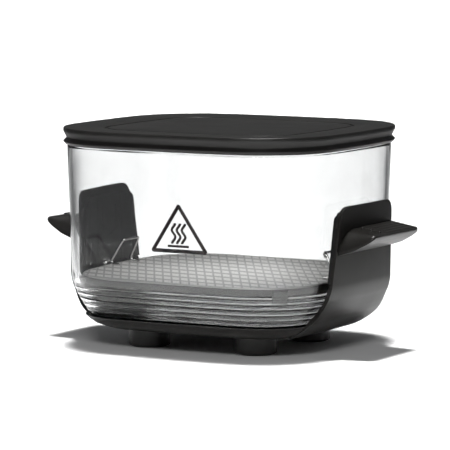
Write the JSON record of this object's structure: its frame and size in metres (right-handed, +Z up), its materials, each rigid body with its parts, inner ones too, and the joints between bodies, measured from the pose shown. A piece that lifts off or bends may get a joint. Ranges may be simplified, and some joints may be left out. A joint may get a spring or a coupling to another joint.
{
  "type": "glass cooking container",
  "caption": "Lidded heat-proof glass vessel in a plastic cradle with side grips and round feet, with a lift-out mesh tray on wire handles.",
  "frame": {"origin": "on the table, under the middle of the vessel", "axes": "+Z up, +X towards the right grip, -Y towards the printed front"},
  "size_m": [0.306, 0.2242, 0.1784],
  "materials": {
    "glass": "clear heat-proof glass, polished",
    "cradle_plastic": "fine satin moulded, near-black",
    "lid_plastic": "satin moulded, near-black",
    "silicone": "soft matt silicone",
    "foot_rubber": "matt rubber",
    "tray_steel": "satin steel, fine mesh",
    "wire_steel": "polished wire",
    "screw_steel": "plated steel"
  },
  "bodies": {
    "cradle": {"glass_vessel": "glass", "cradle_frame": "cradle_plastic", "strap_cover_left": "cradle_plastic", "strap_cover_right": "cradle_plastic", "grip_left": "cradle_plastic", "grip_right": "cradle_plastic", "foot_front_left": "cradle_plastic", "foot_front_right": "cradle_plastic", "foot_rear_left": "cradle_plastic", "foot_rear_right": "cradle_plastic", "strap_liner_left": "silicone", "strap_liner_right": "silicone", "base_pad_front_left": "silicone", "base_pad_front_right": "silicone", "base_pad_rear_left": "silicone", "base_pad_rear_right": "silicone", "foot_pad_front_left": "foot_rubber", "foot_pad_front_right": "foot_rubber", "foot_pad_rear_left": "foot_rubber", "foot_pad_rear_right": "foot_rubber", "foot_screws": "screw_steel", "grip_screws": "screw_steel"},
    "lid": {"lid_cover": "lid_plastic", "lid_seal": "silicone"},
    "tray": {"tray_bumper_front_left": "silicone", "tray_bumper_front_right": "silicone", "tray_bumper_rear_left": "silicone", "tray_bumper_rear_right": "silicone", "tray_plate": "tray_steel", "tray_rim": "tray_steel", "tray_bar_front": "tray_steel", "tray_bar_rear": "tray_steel", "tray_handle_left": "wire_steel", "tray_handle_right": "wire_steel"}
  },
  "joints": [
    {"name": "lid_lift", "type": "slide", "parent": "cradle", "child": "lid", "axis": [0, 0, 1], "range_m": [0, 0.16]},
    {"name": "tray_lift", "type": "slide", "parent": "cradle", "child": "tray", "axis": [0, 0, 1], "range_m": [0, 0.09]}
  ]
}
